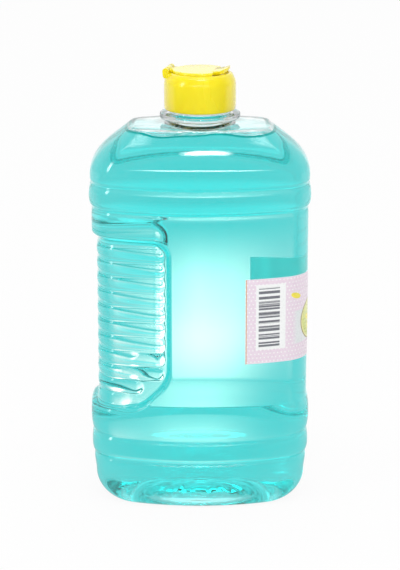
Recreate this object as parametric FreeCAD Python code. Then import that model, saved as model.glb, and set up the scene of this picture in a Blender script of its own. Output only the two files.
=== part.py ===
"""Cologne bottle: a blown PET bottle with a ribbed grip, its liquid, label and flip-top screw cap.

Millimetres, +Z up, origin at the middle of the base, +X towards the label, the grip on -X.
"""
import FreeCAD, Part
import math
import os

Vector = FreeCAD.Vector
UP = Vector(0, 0, 1)
ORIGIN = Vector(0, 0, 0)

# ---- bottle: plan of the straight panel, as eight tangent arcs ------------------------------
PANEL_HALF_LENGTH = 34.2      # along X, to the middle of an end face
PANEL_HALF_DEPTH = 20.1       # along Y, to the middle of a wide face
WIDE_FACE_RADIUS = 76.6       # the wide faces bow outwards
END_FACE_RADIUS = 95.8        # the end faces are nearly flat
CORNER_RADIUS = 10.5

# ---- bottle: heights, each on top of the one before ------------------------------------------
HEEL_HEIGHT = 9.3             # the rounded heel ends here
FOOT_HEIGHT = 6.4             # from the heel to the lower groove
FOOT_RING_WIDTH = 7.4         # from the lower groove to the middle groove
LOWER_RING_WIDTH = 12.0       # from the middle groove to the foot of the panel
PANEL_HEIGHT = 61.6           # from there to the panel groove
UPPER_RING_WIDTH = 7.7        # from the panel groove to the rim groove
RIM_RISE = 2.7                # from the rim groove to where the shoulder starts
SHOULDER_RISE = 15.2          # from there to the deck, the flat round the neck
FILL_DROP = 1.7               # from the deck down to the liquid's level

# ---- bottle: how far the rings stand out of the panel, and grooves cut into them ------------
LOWER_RING_RELIEF = 0.82
FOOT_RING_RELIEF = 0.62
UPPER_RING_RELIEF = 0.77
RIM_RELIEF = 0.36
RING_CREST = 0.6              # share of a ring's width that is its crest
GROOVE_HALF_WIDTH = 0.8
GROOVE_DEPTH = 0.55
FOOT_TAPER = 0.55             # the foot stands this far inside the panel at the heel

# ---- bottle: heel, push-up and wall ---------------------------------------------------------
HEEL_INSET_X = 9.7
HEEL_INSET_Y = 4.3
PUSH_UP_HALF_LENGTH = 21.0
PUSH_UP_HALF_DEPTH = 13.0
PUSH_UP_RISE = 5.2
PUSH_UP_FACE_RADIUS = 40.0
PUSH_UP_END_RADIUS = 16.0
PUSH_UP_CORNER_RADIUS = 8.5
PUSH_UP_FOOT_WIDTH = 1.6      # its steep foot runs in this far
PUSH_UP_FOOT_RISE = 2.6
PUSH_UP_SLOPE_WIDTH = 6.6     # from its edge to the flat at its top
WALL = 0.5
HEEL_STEPS = 3                # straight strips that make the heel's round
OUTER_BEND_STEPS = 3          # the same in the shoulder's bend
INNER_BEND_STEPS = 2

# ---- bottle: shoulder and deck --------------------------------------------------------------
DECK_HALF_LENGTH = 21.6
DECK_HALF_DEPTH = 12.6
DECK_CORNER_RADIUS = 5.2
DECK_FACE_RADIUS = 61.8
DECK_END_RADIUS = 41.2
SHOULDER_BEND = 9.9           # the shoulder turns inwards over this height, then runs straight

# ---- bottle: neck finish --------------------------------------------------------------------
NECK_RADIUS = 9.4             # the thread's root
NECK_BORE_RADIUS = 7.7
NECK_FOOT_RADIUS = 11.5
NECK_STEM_RADIUS = 10.0
SUPPORT_RING_RADIUS = 12.6
SUPPORT_RING_THICKNESS = 1.5
SUPPORT_RING_LIFT = 1.7       # from the deck to the ring's underside
FINISH_LENGTH = 8.8           # from the support ring to the neck's top land
EDGE_CHAMFER = 0.4            # broken edges of the support ring and the land

# ---- bottle: grip recess and its ribs -------------------------------------------------------
GRIP_DEPTH = 2.3
GRIP_EDGE_X = -8.7            # the recess starts here on both wide faces
GRIP_TOP_MARGIN = 7.6         # from the panel groove down to the recess
GRIP_OVERLAP = 3.2            # how far the recess reaches into the lower ring
GRIP_SLANT_LENGTH = 10.5      # along X, the slanted stretch of its lower edge
GRIP_SLANT_RISE = 10.3
GRIP_CORNER_RADIUS = 6.4
GRIP_SLOPE = 2.1              # how far the recess's side walls lean outwards
RIB_PITCH = 4.8
RIB_TOP_MARGIN = 5.8          # from the top of the recess to the middle of the highest rib
RIB_BOTTOM_MARGIN = 2.6       # the least from the foot of the recess to the middle of the lowest
RIB_WIDTH = 4.9               # a little over the pitch, so that the ribs meet in V valleys
RIB_CREST = 0.5               # share of a rib's width that is its crest
RIB_RELIEF = 0.8
RIB_MARGIN = 2.5              # from the end of a rib to the edge of the recess
RIB_SLANT_MARGIN = 7.5        # the same, along the slanted edge

# ---- label ----------------------------------------------------------------------------------
LABEL_THICKNESS = 0.12
LABEL_LIFT = 13.7             # from the foot of the panel to the label
LABEL_HEIGHT = 27.5
LABEL_EDGE_X = 14.1           # the label's two ends on the wide faces

# ---- cap ------------------------------------------------------------------------------------
CAP_WALL = 1.0
CAP_CLEARANCE = 0.85          # from the thread's root to the skirt's bore
CAP_LIFT = 1.2                # from the support ring to the skirt's edge
CAP_DECK_THICKNESS = 2.0
CAP_SHOULDER_DROP = 2.9       # from the rim of the lid's seat down to where the shoulder starts
CAP_SHOULDER_BULGE = 0.9      # how far the middle of the shoulder lies below the rim
CAP_RIM_WIDTH = 0.3
CAP_CHAMFER = 0.5             # broken edge at the skirt's foot
SEAT_DEPTH = 1.1              # the lid's seat below its rim
SPOUT_RADIUS = 2.9
SPOUT_RISE = 0.4
ORIFICE_RADIUS = 1.2
LINER_THICKNESS = 0.8
LINER_CLEARANCE = 0.65        # from the skirt's bore to the liner
LINER_HOLE_RADIUS = 3.3
CAP_REST_TURN = -12.0         # degrees that the thumb tab stands away from +X when screwed home

# ---- flip lid -------------------------------------------------------------------------------
LID_GAP = 0.2                 # parting line round and below the lid
LID_RADIUS = 8.7
LID_THICKNESS = 1.7
LID_CHAMFER = 0.4
LID_SKIN = 0.9                # the lid is hollow below this
LID_RIM = 1.2
LID_FRONT = 3.5               # the disc stops this far short of its round and the tab goes on
PIN_CLEARANCE = 0.35          # from the sealing pin to the orifice, so that it can swing out
PIN_LENGTH = 1.1              # below the lid's underside
TAB_WIDTH = 8.6
TAB_ROOT = 2.0                # how far the tab reaches back into the disc
TAB_OVERHANG = 0.7            # how far the tab stands out past the disc's round
TAB_RISE = 1.2
TAB_THICKNESS = 0.9
HINGE_OFFSET = 1.3            # from the disc's round to the hinge line
HINGE_DROP = 0.4              # the hinge line below the lid's top
HINGE_RADIUS = 1.0
HINGE_FOOT_DROP = 1.8         # from the rim of the lid's seat down to the foot of the ears
HINGE_BARREL_WIDTH = 6.2
HINGE_EAR_WIDTH = 1.2
HINGE_GAP = 0.12
HINGE_STUB_RADIUS = 0.5
HINGE_STUB_CLEARANCE = 0.06

# ---- places that follow from the sizes above -------------------------------------------------
LOWER_GROOVE_HEIGHT = HEEL_HEIGHT + FOOT_HEIGHT
MIDDLE_GROOVE_HEIGHT = LOWER_GROOVE_HEIGHT + FOOT_RING_WIDTH
PANEL_FOOT = MIDDLE_GROOVE_HEIGHT + LOWER_RING_WIDTH
PANEL_GROOVE_HEIGHT = PANEL_FOOT + PANEL_HEIGHT
RIM_GROOVE_HEIGHT = PANEL_GROOVE_HEIGHT + UPPER_RING_WIDTH
RIM_HEIGHT = RIM_GROOVE_HEIGHT + RIM_RISE
DECK_HEIGHT = RIM_HEIGHT + SHOULDER_RISE
FILL_HEIGHT = DECK_HEIGHT - FILL_DROP
RING_BOTTOM = DECK_HEIGHT + SUPPORT_RING_LIFT
RING_TOP = RING_BOTTOM + SUPPORT_RING_THICKNESS
NECK_TOP_HEIGHT = RING_TOP + FINISH_LENGTH
GRIP_TOP = PANEL_GROOVE_HEIGHT - GRIP_TOP_MARGIN
GRIP_BOTTOM = PANEL_FOOT - GRIP_OVERLAP
GRIP_SLANT_TOP = GRIP_BOTTOM + GRIP_SLANT_RISE
GRIP_SLANT_X = GRIP_EDGE_X - GRIP_SLANT_LENGTH
RIB_TOP = GRIP_TOP - RIB_TOP_MARGIN
RIB_COUNT = 1 + int((RIB_TOP - GRIP_BOTTOM - RIB_BOTTOM_MARGIN) / RIB_PITCH)
LABEL_BOTTOM = PANEL_FOOT + LABEL_LIFT
LABEL_TOP = LABEL_BOTTOM + LABEL_HEIGHT
CAP_BOTTOM = RING_TOP + CAP_LIFT
CAP_BORE_RADIUS = NECK_RADIUS + CAP_CLEARANCE
CAP_RADIUS = CAP_BORE_RADIUS + CAP_WALL
CAP_UNDERSIDE = NECK_TOP_HEIGHT + LINER_THICKNESS
LINER_RADIUS = CAP_BORE_RADIUS - LINER_CLEARANCE
SEAT_HEIGHT = CAP_UNDERSIDE + CAP_DECK_THICKNESS
CAP_RIM_HEIGHT = SEAT_HEIGHT + SEAT_DEPTH
LID_BOTTOM = SEAT_HEIGHT + LID_GAP
LID_TOP = LID_BOTTOM + LID_THICKNESS
LID_FRONT_X = LID_RADIUS - LID_FRONT
PIN_RADIUS = ORIFICE_RADIUS - PIN_CLEARANCE
TAB_ROOT_X = LID_FRONT_X - TAB_ROOT
TAB_REACH = LID_RADIUS + TAB_OVERHANG
HINGE_X = -LID_RADIUS - HINGE_OFFSET
HINGE_HEIGHT = LID_TOP - HINGE_DROP


# ---- plan outlines --------------------------------------------------------------------------
def panel_plan(offset=0.0):
    """Sizes of the panel's outline moved outwards: half length, half depth, face, end and corner radius."""
    sizes = (PANEL_HALF_LENGTH, PANEL_HALF_DEPTH, WIDE_FACE_RADIUS, END_FACE_RADIUS, CORNER_RADIUS)
    return tuple(size + offset for size in sizes)


def blend(first, last, fraction):
    """Sizes part of the way from one plan to another."""
    return tuple(a + (b - a) * fraction for a, b in zip(first, last))


def arc_centres(plan):
    """Centres of the wide face, corner and end arcs in the quarter where X and Y are positive."""
    half_length, half_depth, face_radius, end_radius, corner_radius = plan
    face = Vector(0, half_depth - face_radius, 0)
    end = Vector(half_length - end_radius, 0, 0)
    to_face = face_radius - corner_radius
    to_end = end_radius - corner_radius
    apart = (end - face).Length
    along = (to_face ** 2 - to_end ** 2 + apart ** 2) / (2 * apart)
    across = math.sqrt(to_face ** 2 - along ** 2)
    direction = (end - face).normalize()
    sideways = UP.cross(direction)
    options = [face + direction * along + sideways * (sign * across) for sign in (1, -1)]
    corner = max(options, key=lambda point: point.x + point.y)
    return face, corner, end


def plan_arcs(plan):
    """The eight arcs, anticlockwise from +X, as centre, radius, start angle and sweep in radians."""
    face, corner, end = arc_centres(plan)
    face_radius, end_radius, corner_radius = plan[2:]
    end_angle = math.atan2(corner.y - end.y, corner.x - end.x)
    face_angle = math.atan2(corner.y - face.y, corner.x - face.x)
    half_turn = math.pi
    corner_sweep = face_angle - end_angle
    face_sweep = half_turn - 2 * face_angle
    turned = (Vector(-corner.x, corner.y, 0), Vector(-corner.x, -corner.y, 0), Vector(corner.x, -corner.y, 0))
    return [
        (end, end_radius, -end_angle, 2 * end_angle),
        (corner, corner_radius, end_angle, corner_sweep),
        (face, face_radius, face_angle, face_sweep),
        (turned[0], corner_radius, half_turn - face_angle, corner_sweep),
        (-end, end_radius, half_turn - end_angle, 2 * end_angle),
        (turned[1], corner_radius, half_turn + end_angle, corner_sweep),
        (-face, face_radius, half_turn + face_angle, face_sweep),
        (turned[2], corner_radius, -face_angle, corner_sweep),
    ]


def outline(plan, height):
    """Closed wire of the eight tangent arcs at a height."""
    edges = []
    for centre, radius, start, sweep in plan_arcs(plan):
        points = []
        for fraction in (0, 0.5, 1):
            angle = start + sweep * fraction
            points.append(Vector(math.cos(angle), math.sin(angle), 0) * radius + centre + UP * height)
        edges.append(Part.Arc(*points).toShape())
    return Part.Wire(edges)


def prism(plan, bottom, top):
    """Upright block with the plan's outline."""
    return Part.Face(outline(plan, bottom)).extrude(UP * (top - bottom))


def band(profile, plan):
    """Solid inside a wall profile that runs round a plan's outline.

    The profile is a list of (offset, height) points from the bottom up.
    """
    faces = []
    for centre, radius, start, sweep in plan_arcs(plan):
        wire = Part.makePolygon([Vector(radius + offset, 0, height) for offset, height in profile])
        wire.rotate(ORIGIN, UP, math.degrees(start))
        wire.translate(centre)
        faces += wire.revolve(centre, UP, math.degrees(sweep)).Faces
    bottom_offset, bottom = profile[0]
    top_offset, top = profile[-1]
    faces.append(Part.Face(outline(tuple(size + bottom_offset for size in plan), bottom)))
    faces.append(Part.Face(outline(tuple(size + top_offset for size in plan), top)))
    shell = Part.makeShell(faces)
    shell.sewShape()
    solid = Part.Solid(shell)
    if solid.Volume < 0:
        solid.reverse()
    return solid


# ---- bottle: body ---------------------------------------------------------------------------
def crest(relief, bottom, top):
    """A raised ring's crest over the middle of its width; the slopes beside it run down to the grooves."""
    middle = (bottom + top) / 2
    half_crest = (top - bottom) * RING_CREST / 2
    return [(relief, middle - half_crest), (relief, middle + half_crest)]


def outer_profile():
    """The body's outer side from the heel to the rim: V grooves between raised rings."""
    foot_ring = crest(FOOT_RING_RELIEF, LOWER_GROOVE_HEIGHT, MIDDLE_GROOVE_HEIGHT)
    lower_ring = crest(LOWER_RING_RELIEF, MIDDLE_GROOVE_HEIGHT, PANEL_FOOT)
    upper_ring = crest(UPPER_RING_RELIEF, PANEL_GROOVE_HEIGHT, RIM_GROOVE_HEIGHT)
    return [(-FOOT_TAPER, HEEL_HEIGHT), (0.0, LOWER_GROOVE_HEIGHT - GROOVE_HALF_WIDTH),
            (-GROOVE_DEPTH, LOWER_GROOVE_HEIGHT), *foot_ring,
            (FOOT_RING_RELIEF / 2 - GROOVE_DEPTH, MIDDLE_GROOVE_HEIGHT), *lower_ring, (0.0, PANEL_FOOT),
            (0.0, PANEL_GROOVE_HEIGHT - GROOVE_HALF_WIDTH), (-GROOVE_DEPTH, PANEL_GROOVE_HEIGHT), *upper_ring,
            (RIM_RELIEF - GROOVE_DEPTH, RIM_GROOVE_HEIGHT),
            (RIM_RELIEF, RIM_GROOVE_HEIGHT + GROOVE_HALF_WIDTH), (RIM_RELIEF, RIM_HEIGHT)]


def inner_profile():
    """The body's inner side: a wall behind the roots of the grooves and behind the panel."""
    points = [(-FOOT_TAPER, HEEL_HEIGHT), (-GROOVE_DEPTH, LOWER_GROOVE_HEIGHT),
              (-GROOVE_DEPTH, MIDDLE_GROOVE_HEIGHT), (0.0, MIDDLE_GROOVE_HEIGHT + 2 * GROOVE_HALF_WIDTH),
              (0.0, PANEL_GROOVE_HEIGHT - GROOVE_HALF_WIDTH), (-GROOVE_DEPTH, PANEL_GROOVE_HEIGHT),
              (RIM_RELIEF, RIM_HEIGHT)]
    return [(offset - WALL, height) for offset, height in points]


def heel(depth):
    """The rounded foot, which turns in further at the ends than on the wide faces."""
    sections = []
    for step in range(HEEL_STEPS + 1):
        turn = math.pi / 2 * step / HEEL_STEPS
        inset_share = 1 - math.sin(turn)
        height = depth + (HEEL_HEIGHT - depth) * (1 - math.cos(turn))
        plan = panel_plan(-FOOT_TAPER - depth - HEEL_INSET_Y * inset_share)
        half_length = PANEL_HALF_LENGTH - FOOT_TAPER - depth - HEEL_INSET_X * inset_share
        sections.append(outline((half_length,) + plan[1:], height))
    return Part.makeLoft(sections, True, True)


def lean(height):
    """How far the shoulder has come in at a height over the rim: a bend, then a straight slope."""
    if height < SHOULDER_BEND:
        return height ** 2 / (2 * SHOULDER_BEND)
    return height - SHOULDER_BEND / 2


def shoulder(depth, steps):
    """The shoulder from the rim in to the deck, with steps through its bend, then a straight slope."""
    rim_plan = panel_plan(RIM_RELIEF - depth)
    deck_sizes = (DECK_HALF_LENGTH, DECK_HALF_DEPTH, DECK_FACE_RADIUS, DECK_END_RADIUS, DECK_CORNER_RADIUS)
    deck_plan = tuple(size - depth for size in deck_sizes)
    rise = SHOULDER_RISE - depth
    heights = [SHOULDER_BEND * step / steps for step in range(steps)]
    heights += [SHOULDER_BEND, (SHOULDER_BEND + rise) / 2, rise]
    sections = []
    for height in heights:
        plan = blend(rim_plan, deck_plan, lean(height) / lean(rise))
        sections.append(outline(plan, RIM_HEIGHT + height))
    return Part.makeLoft(sections, True, True)


def push_up(depth):
    """Dome under the base, a depth above its outer surface: a steep foot, then a shallow slope."""
    plan = (PUSH_UP_HALF_LENGTH, PUSH_UP_HALF_DEPTH, PUSH_UP_FACE_RADIUS, PUSH_UP_END_RADIUS,
            PUSH_UP_CORNER_RADIUS)
    return band([(depth, -WALL), (depth, depth), (depth - PUSH_UP_FOOT_WIDTH, PUSH_UP_FOOT_RISE + depth),
                 (depth - PUSH_UP_SLOPE_WIDTH, PUSH_UP_RISE + depth)], plan)


# ---- bottle: grip recess --------------------------------------------------------------------
def slant_x(height):
    """X of the recess's slanted lower edge at a height."""
    share = (height - GRIP_BOTTOM) / (GRIP_SLANT_TOP - GRIP_BOTTOM)
    return GRIP_SLANT_X + (GRIP_EDGE_X - GRIP_SLANT_X) * share


def through_block(corners, half_depth):
    """Block cut right through along Y from an outline of (x, height) corners."""
    points = [Vector(x, -half_depth, height) for x, height in corners]
    return Part.Face(Part.makePolygon(points + points[:1])).extrude(Vector(0, 2 * half_depth, 0))


def grip_block(depth):
    """The recess seen from the wide side: open to -X, rounded at its top, slanted at its bottom."""
    far = -2 * PANEL_HALF_LENGTH
    edge = GRIP_EDGE_X + depth
    top = GRIP_TOP + depth
    bottom = GRIP_BOTTOM - depth
    slant_shift = depth * math.tan(math.pi / 8)
    corners = [(far, bottom), (GRIP_SLANT_X + slant_shift, bottom), (edge, GRIP_SLANT_TOP - slant_shift),
               (edge, top), (far, top)]
    block = through_block(corners, 2 * PANEL_HALF_DEPTH)
    middle = Vector(edge, 0, top)
    upper_corner = [line for line in block.Edges if (line.CenterOfMass - middle).Length < WALL]
    return block.makeFillet(GRIP_CORNER_RADIUS, upper_corner)


def grip_floor(depth):
    """What stays behind the recess: the floor, its leaning ends and the ramp at the wide faces' edge."""
    floor = -GRIP_DEPTH - depth
    proud = LOWER_RING_RELIEF
    top = GRIP_TOP + depth
    bottom = GRIP_BOTTOM - depth
    core = band([(proud, bottom - GRIP_SLOPE), (proud, bottom), (floor, bottom + GRIP_SLOPE),
                 (floor, top - GRIP_SLOPE), (proud, top), (proud, top + GRIP_SLOPE)], panel_plan())
    edge = GRIP_EDGE_X + depth
    outer_y = PANEL_HALF_DEPTH + proud
    inner_y = PANEL_HALF_DEPTH + floor - GRIP_DEPTH
    ramp = Part.makePolygon([Vector(edge - GRIP_SLOPE * (outer_y - inner_y) / GRIP_DEPTH, inner_y, bottom),
                             Vector(edge, inner_y, bottom), Vector(edge, outer_y, bottom),
                             Vector(edge - GRIP_SLOPE * (outer_y - inner_y) / GRIP_DEPTH, inner_y, bottom)])
    near = Part.Face(ramp).extrude(UP * (top - bottom))
    far = near.mirror(ORIGIN, Vector(0, 1, 0))
    return core.fuse([near, far])


def rib_end_x(height):
    """X where a rib ends, short of the recess's edge."""
    if height > GRIP_SLANT_TOP:
        return GRIP_EDGE_X - RIB_MARGIN
    return slant_x(height) - RIB_SLANT_MARGIN


def ribs():
    """Rounded ridges that run round the grip from one wide face to the other."""
    far = -2 * PANEL_HALF_LENGTH
    floor = -GRIP_DEPTH
    half = RIB_WIDTH / 2
    shapes = []
    for index in range(RIB_COUNT):
        height = RIB_TOP - index * RIB_PITCH
        ridge = band([(floor, height - half), (floor + RIB_RELIEF, height - half * RIB_CREST),
                      (floor + RIB_RELIEF, height + half * RIB_CREST), (floor, height + half)], panel_plan())
        end = rib_end_x(height) - half
        slot = through_block([(far, height - half), (end, height - half), (end, height + half),
                              (far, height + half)], 2 * PANEL_HALF_DEPTH)
        round_end = Part.makeCylinder(half, 4 * PANEL_HALF_DEPTH, Vector(end, -2 * PANEL_HALF_DEPTH, height),
                                      Vector(0, 1, 0))
        shapes.append(ridge.common(slot.fuse(round_end)))
    return shapes


def body_form(profile, depth, bend_steps):
    """The blown body as a solid, with its grip recess, a depth inside its outer surface."""
    ends = [heel(depth), shoulder(depth, bend_steps)]
    body = band(profile, panel_plan()).fuse(ends).cut(push_up(depth))
    return body.cut(grip_block(depth).cut(grip_floor(depth)))


# ---- bottle: neck ---------------------------------------------------------------------------
def turned(profile):
    """Solid of revolution about the Z axis from the (radius, height) corners of its closed profile."""
    corners = [Vector(radius, 0, height) for radius, height in profile]
    return Part.Face(Part.makePolygon(corners + corners[:1])).revolve(ORIGIN, UP, 360)


def neck():
    """Neck finish: flared foot, support ring and the thread's root cylinder, without its bore."""
    sunk = DECK_HEIGHT - WALL
    return turned([
        (0, sunk), (NECK_FOOT_RADIUS, sunk), (NECK_FOOT_RADIUS, DECK_HEIGHT), (NECK_STEM_RADIUS, RING_BOTTOM),
        (SUPPORT_RING_RADIUS - EDGE_CHAMFER, RING_BOTTOM), (SUPPORT_RING_RADIUS, RING_BOTTOM + EDGE_CHAMFER),
        (SUPPORT_RING_RADIUS, RING_TOP - EDGE_CHAMFER), (SUPPORT_RING_RADIUS - EDGE_CHAMFER, RING_TOP),
        (NECK_RADIUS, RING_TOP), (NECK_RADIUS, NECK_TOP_HEIGHT - EDGE_CHAMFER),
        (NECK_RADIUS - EDGE_CHAMFER, NECK_TOP_HEIGHT), (0, NECK_TOP_HEIGHT)])


def neck_bore():
    """The mouth's bore, from inside the shoulder up through the land."""
    start = DECK_HEIGHT - 2 * WALL
    return Part.makeCylinder(NECK_BORE_RADIUS, NECK_TOP_HEIGHT + WALL - start, UP * start)


def cavity():
    """Everything inside the bottle's body, up to the deck."""
    return body_form(inner_profile(), WALL, INNER_BEND_STEPS)


def bottle(hollow):
    """The blown bottle, one piece."""
    outside = body_form(outer_profile(), 0.0, OUTER_BEND_STEPS).fuse(ribs()).fuse(neck())
    return outside.cut(hollow).cut(neck_bore()).removeSplitter()


def cologne(hollow):
    """The liquid: it fills the inside up to the fill line."""
    room = Part.makeBox(4 * PANEL_HALF_LENGTH, 4 * PANEL_HALF_DEPTH, FILL_HEIGHT,
                        Vector(-2 * PANEL_HALF_LENGTH, -2 * PANEL_HALF_DEPTH, 0))
    return hollow.common(room)


def label():
    """Printed film on the panel, round the front end from one wide face to the other."""
    sleeve = prism(panel_plan(LABEL_THICKNESS), LABEL_BOTTOM, LABEL_TOP)
    sleeve = sleeve.cut(prism(panel_plan(), LABEL_BOTTOM, LABEL_TOP))
    front = Part.makeBox(2 * PANEL_HALF_LENGTH, 4 * PANEL_HALF_DEPTH, LABEL_TOP - LABEL_BOTTOM,
                         Vector(LABEL_EDGE_X, -2 * PANEL_HALF_DEPTH, LABEL_BOTTOM))
    return sleeve.common(front)


# ---- cap, modelled with its thumb tab on +X and then turned to its rest position --------------
def turn_to_rest(shape):
    """Turn a piece of the cap about the bottle's axis to where it sits when screwed home."""
    shape.rotate(ORIGIN, UP, CAP_REST_TURN)
    return shape


def hinge_rod(radius, start, end):
    """Round bar along the hinge line, between two places across the cap."""
    return Part.makeCylinder(radius, end - start, Vector(HINGE_X, start, HINGE_HEIGHT), Vector(0, 1, 0))


def hinge_ears():
    """Two ears that rise from the cap's shoulder and hold the lid's barrel by a stub each."""
    inner = HINGE_BARREL_WIDTH / 2 + HINGE_GAP
    outer = inner + HINGE_EAR_WIDTH
    foot_height = CAP_RIM_HEIGHT - HINGE_FOOT_DROP
    ear = hinge_rod(HINGE_RADIUS, inner, outer)
    foot = Part.makeBox(2 * HINGE_RADIUS, HINGE_EAR_WIDTH, HINGE_HEIGHT - foot_height,
                        Vector(HINGE_X - HINGE_RADIUS, inner, foot_height))
    within = Part.makeCylinder(CAP_RADIUS, LID_TOP)
    ear = ear.fuse(foot.common(within))
    stub = hinge_rod(HINGE_STUB_RADIUS, inner - HINGE_EAR_WIDTH, inner)
    near = ear.fuse(stub)
    return near.fuse(near.mirror(ORIGIN, Vector(0, 1, 0)))


def cap_body():
    """Screw skirt with its deck, the lid's seat, the pouring spout and the hinge's ears."""
    shoulder_start = CAP_RIM_HEIGHT - CAP_SHOULDER_DROP
    seat_radius = LID_RADIUS + LID_GAP
    rim_radius = seat_radius + CAP_RIM_WIDTH
    shoulder_radius = (CAP_RADIUS + rim_radius) / 2 + CAP_SHOULDER_BULGE / 2
    spout_top = SEAT_HEIGHT + SPOUT_RISE
    profile = [
        (CAP_RADIUS - CAP_CHAMFER, CAP_BOTTOM), (CAP_RADIUS, CAP_BOTTOM + CAP_CHAMFER),
        (CAP_RADIUS, shoulder_start), (shoulder_radius, CAP_RIM_HEIGHT - CAP_SHOULDER_BULGE),
        (rim_radius, CAP_RIM_HEIGHT), (seat_radius, CAP_RIM_HEIGHT), (seat_radius, SEAT_HEIGHT),
        (SPOUT_RADIUS, SEAT_HEIGHT), (SPOUT_RADIUS, spout_top), (ORIFICE_RADIUS, spout_top),
        (ORIFICE_RADIUS, CAP_UNDERSIDE), (CAP_BORE_RADIUS, CAP_UNDERSIDE), (CAP_BORE_RADIUS, CAP_BOTTOM)]
    half_barrel = HINGE_BARREL_WIDTH / 2 + HINGE_GAP
    notch = hinge_rod(HINGE_RADIUS + HINGE_GAP, -half_barrel, half_barrel)
    return turn_to_rest(turned(profile).cut(notch).fuse(hinge_ears()))


def cap_liner():
    """Sealing washer between the neck's land and the cap's deck."""
    washer = Part.makeCylinder(LINER_RADIUS, LINER_THICKNESS, UP * NECK_TOP_HEIGHT)
    hole = Part.makeCylinder(LINER_HOLE_RADIUS, LINER_THICKNESS, UP * NECK_TOP_HEIGHT)
    return turn_to_rest(washer.cut(hole))


def thumb_tab():
    """The lid's front end, which rises from the seat so that a thumb gets under it."""
    top_end = LID_TOP + TAB_RISE
    low_root = LID_TOP - TAB_THICKNESS
    outline_points = [(TAB_ROOT_X, low_root), (LID_FRONT_X, low_root), (TAB_REACH, top_end - TAB_THICKNESS),
                      (TAB_REACH, top_end), (TAB_ROOT_X, LID_TOP)]
    corners = [Vector(x, -TAB_WIDTH / 2, height) for x, height in outline_points]
    plate = Part.Face(Part.makePolygon(corners + corners[:1])).extrude(Vector(0, TAB_WIDTH, 0))
    return plate.common(Part.makeCylinder(TAB_REACH, top_end))


def flip_lid():
    """Snap lid: a hollow disc with its sealing pin, thumb tab and hinge barrel."""
    ceiling = LID_TOP - LID_SKIN
    pin_end = LID_BOTTOM - PIN_LENGTH
    profile = [(0, pin_end), (PIN_RADIUS, pin_end), (PIN_RADIUS, ceiling), (LID_RADIUS - LID_RIM, ceiling),
               (LID_RADIUS - LID_RIM, LID_BOTTOM), (LID_RADIUS, LID_BOTTOM),
               (LID_RADIUS, LID_TOP - LID_CHAMFER), (LID_RADIUS - LID_CHAMFER, LID_TOP), (0, LID_TOP)]
    front = Part.makeBox(LID_RADIUS, 2 * LID_RADIUS, LID_THICKNESS + PIN_LENGTH,
                         Vector(LID_FRONT_X, -LID_RADIUS, pin_end))
    disc = turned(profile).cut(front)
    half_barrel = HINGE_BARREL_WIDTH / 2
    barrel = hinge_rod(HINGE_RADIUS, -half_barrel, half_barrel)
    web_bottom = CAP_RIM_HEIGHT + LID_GAP
    web = Part.makeBox(LID_RIM - HINGE_X - LID_RADIUS, HINGE_BARREL_WIDTH, LID_TOP - web_bottom,
                       Vector(HINGE_X, -half_barrel, web_bottom))
    stub_hole = hinge_rod(HINGE_STUB_RADIUS + HINGE_STUB_CLEARANCE, -half_barrel, half_barrel)
    return turn_to_rest(disc.fuse([thumb_tab(), barrel, web]).cut(stub_hole).removeSplitter())


# ---- all the pieces ---------------------------------------------------------------------------
def main():
    """Write each piece to its own STEP file."""
    os.makedirs("parts", exist_ok=True)
    hollow = cavity()
    pieces = {
        "bottle": bottle(hollow),
        "cologne": cologne(hollow),
        "label": label(),
        "cap_body": cap_body(),
        "cap_liner": cap_liner(),
        "flip_lid": flip_lid(),
    }
    for name, shape in pieces.items():
        shape.exportStep("parts/" + name + ".step")


main()
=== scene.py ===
"""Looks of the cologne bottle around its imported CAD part.

Forms are written in millimetres, and turned into metres as their meshes are made. Lamps, camera
and the distances in shaders are in metres.
"""
import math

import bpy
import numpy as np
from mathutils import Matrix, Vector

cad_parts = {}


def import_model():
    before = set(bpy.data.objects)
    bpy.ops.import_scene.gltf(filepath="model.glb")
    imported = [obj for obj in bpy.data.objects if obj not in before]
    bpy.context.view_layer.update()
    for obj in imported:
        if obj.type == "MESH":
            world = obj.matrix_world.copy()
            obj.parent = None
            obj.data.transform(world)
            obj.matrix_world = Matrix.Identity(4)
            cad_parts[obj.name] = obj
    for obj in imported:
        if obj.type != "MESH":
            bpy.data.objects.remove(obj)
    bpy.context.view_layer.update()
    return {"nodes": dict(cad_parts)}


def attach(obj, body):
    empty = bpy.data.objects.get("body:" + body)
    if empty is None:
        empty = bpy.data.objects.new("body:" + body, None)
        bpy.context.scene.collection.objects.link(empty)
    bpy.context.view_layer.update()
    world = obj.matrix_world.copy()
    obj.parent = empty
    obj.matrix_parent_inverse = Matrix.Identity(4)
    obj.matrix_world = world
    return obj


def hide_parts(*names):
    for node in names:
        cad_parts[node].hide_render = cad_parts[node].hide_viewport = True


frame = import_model()
MM = 0.001

# ---- sizes, as in the part ---------------------------------------------------------------------
# a plan is half length, half depth, face radius, end radius and corner radius
PANEL = (34.2, 20.1, 76.6, 95.8, 10.5)
DECK_PLAN = (21.6, 12.6, 61.8, 41.2, 5.2)
HEEL, LOWER_GROOVE, MIDDLE_GROOVE, PANEL_FOOT = 9.3, 15.7, 23.1, 35.1
PANEL_GROOVE, RIM_GROOVE, RIM, DECK = 96.7, 104.4, 107.1, 122.3
FILL = 120.6
WALL = 0.5
SHOULDER_BEND = 9.9
FOOT_TAPER = 0.55
HEEL_LONG, HEEL_DEEP = 9.7, 4.3             # how far the heel draws in along and across
FOOT_RING, LOWER_RING, UPPER_RING, RIM_OUT = 0.62, 0.82, 0.77, 0.36     # relief over the panel
PUSH_UP = (21.0, 13.0, 5.2)                 # half length, half depth, rise
GRIP_EDGE, GRIP_TOP, GRIP_BOTTOM, GRIP_DEPTH = -8.7, 89.1, 31.9, 2.3
SLANT_X, SLANT_TOP, GRIP_CORNER, GRIP_SLOPE = -19.2, 42.2, 6.4, 2.3
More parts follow.
